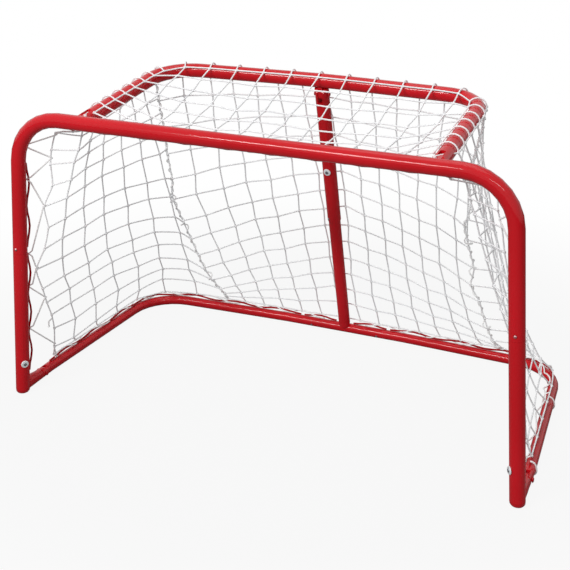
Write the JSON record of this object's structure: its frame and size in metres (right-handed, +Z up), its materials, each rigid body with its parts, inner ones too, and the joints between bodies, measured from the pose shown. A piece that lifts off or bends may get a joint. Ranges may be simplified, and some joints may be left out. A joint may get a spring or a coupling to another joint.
{
  "type": "folding hockey goal",
  "caption": "Folding street-hockey goal with a red steel-tube frame, wavy lacing rods, a telescoping rear strut and a white knotted net.",
  "frame": {"origin": "on the floor, at the centre of the goal's footprint", "axes": "+X to the goal's right seen from the front, +Y from the goal mouth to the back, +Z up"},
  "size_m": [0.9342, 0.4939, 0.5728],
  "materials": {
    "frame": "glossy red enamel on bent steel tube",
    "rods": "red enamel on wavy steel lacing rods",
    "steel": "plated screws, snap buttons and leaf springs",
    "washers": "white plastic net washers",
    "net": "white knotted nylon net"
  },
  "bodies": {
    "front_frame": {"front_bow": "frame", "crossbar_rod": "rods", "left_lower_post": "frame", "left_foot_cap": "frame", "left_foot_bracket": "frame", "left_top_lug": "frame", "left_lower_post_rod": "rods", "left_upper_post_rod": "rods", "left_corner_rod": "rods", "left_post_net_washer": "washers", "left_post_net_screw": "steel", "left_button_spring": "steel", "right_lower_post": "frame", "right_foot_cap": "frame", "right_foot_bracket": "frame", "right_top_lug": "frame", "right_lower_post_rod": "rods", "right_upper_post_rod": "rods", "right_corner_rod": "rods", "right_post_net_washer": "washers", "right_post_net_screw": "steel", "right_button_spring": "steel", "left_side_net": "net", "right_side_net": "net", "back_net": "net"},
    "base_frame": {"base_left_half": "frame", "base_right_half": "frame", "base_left_rod": "rods", "base_right_rod": "rods", "rear_tee": "frame", "left_foot_pin": "frame", "left_foot_pin_cap": "frame", "left_tee_screw": "steel", "left_tee_rod": "rods", "right_foot_pin": "frame", "right_foot_pin_cap": "frame", "right_tee_screw": "steel", "right_tee_rod": "rods"},
    "top_frame_body": {"top_frame": "frame", "strut_lug": "frame", "left_top_pin": "frame", "left_top_pin_cap": "frame", "right_top_pin": "frame", "right_top_pin_cap": "frame", "top_net": "net"},
    "strut_upper_body": {"strut_upper": "frame", "right_strut_pin": "frame", "right_strut_pin_cap": "frame", "strut_lock_screw": "steel", "strut_net_screw": "steel", "strut_net_washer": "washers"},
    "strut_lower_body": {"strut_lower": "frame"},
    "left_button": {"left_snap_button": "steel"},
    "right_button": {"right_snap_button": "steel"}
  },
  "joints": [
    {"name": "base_fold", "type": "hinge", "parent": "front_frame", "child": "base_frame", "pos_m": [0, -0.16938, 0.0095], "axis": [1, 0, 0], "range_deg": [0, 90], "deforming": ["back_net", "top_net", "left_side_net", "right_side_net"]},
    {"name": "top_fold", "type": "hinge", "parent": "front_frame", "child": "top_frame_body", "pos_m": [0, -0.20588, 0.525], "axis": [1, 0, 0], "range_deg": [-95.97, 0]},
    {"name": "strut_swing", "type": "hinge", "parent": "top_frame_body", "child": "strut_upper_body", "pos_m": [0, 0.09277, 0.52989], "axis": [1, 0, 0], "range_deg": [-93.56, 0]},
    {"name": "strut_slide", "type": "slide", "parent": "strut_upper_body", "child": "strut_lower_body", "axis": [0, -0.2647, 0.9643], "range_m": [0, 0.21501]},
    {"name": "left_button_press", "type": "slide", "parent": "front_frame", "child": "left_button", "axis": [0, 1, 0], "range_m": [0, 0.0035], "stiffness_N_per_m": 2000, "deforming": ["left_button_spring"]},
    {"name": "right_button_press", "type": "slide", "parent": "front_frame", "child": "right_button", "axis": [0, 1, 0], "range_m": [0, 0.0035], "stiffness_N_per_m": 2000, "deforming": ["right_button_spring"]}
  ],
  "couplings": [
    {"joint": "top_fold", "follows": "base_fold", "ratio": -1.0662},
    {"joint": "strut_swing", "follows": "base_fold", "ratio": -1.0395},
    {"joint": "strut_slide", "follows": "base_fold", "m_per_rad": 0.13687}
  ]
}
